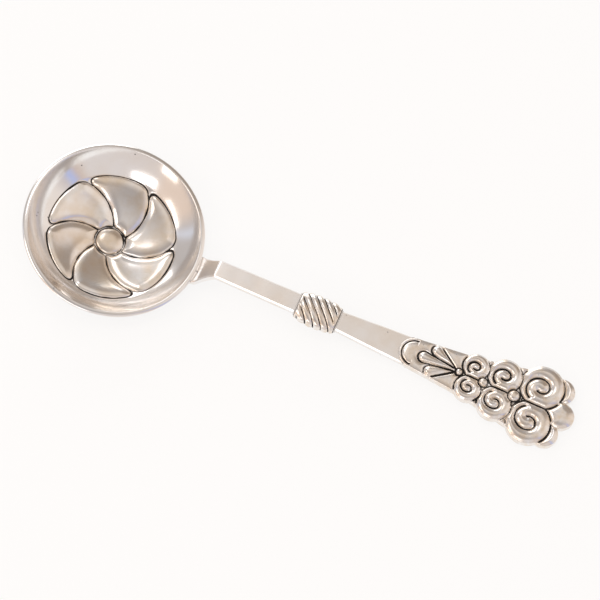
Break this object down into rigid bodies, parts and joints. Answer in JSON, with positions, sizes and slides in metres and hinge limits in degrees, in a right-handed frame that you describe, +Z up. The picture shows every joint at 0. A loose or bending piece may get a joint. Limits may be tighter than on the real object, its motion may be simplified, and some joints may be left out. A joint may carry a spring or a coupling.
{
  "type": "serving spoon",
  "caption": "Silver serving spoon with a shallow round bowl, a bent neck, a flat stem with a gadrooned collar and a scrolled shell terminal.",
  "frame": {"origin": "on the table, under the middle of the spoon's length and width, as it lies on the bottom of its bowl and the end of its terminal", "axes": "+X from the bowl to the terminal along the length, +Y across the bowl, +Z up from the table"},
  "size_m": [0.2056, 0.065, 0.0219],
  "materials": {
    "bowl_silver": "polished silver with fine wear, chased grooves darkened by oxide",
    "stem_silver": "planished and satin polished silver with soft wear along the edges",
    "ornament_silver": "cast and chased silver, raised forms burnished, grooves darkened by oxide",
    "solder": "silver solder, dull where it shows at the joints"
  },
  "bodies": {
    "root": {"bowl": "bowl_silver", "stem": "stem_silver", "collar": "ornament_silver", "terminal": "ornament_silver", "bowl_solder": "solder", "collar_solder": "solder", "terminal_solder": "solder"}
  },
  "joints": []
}
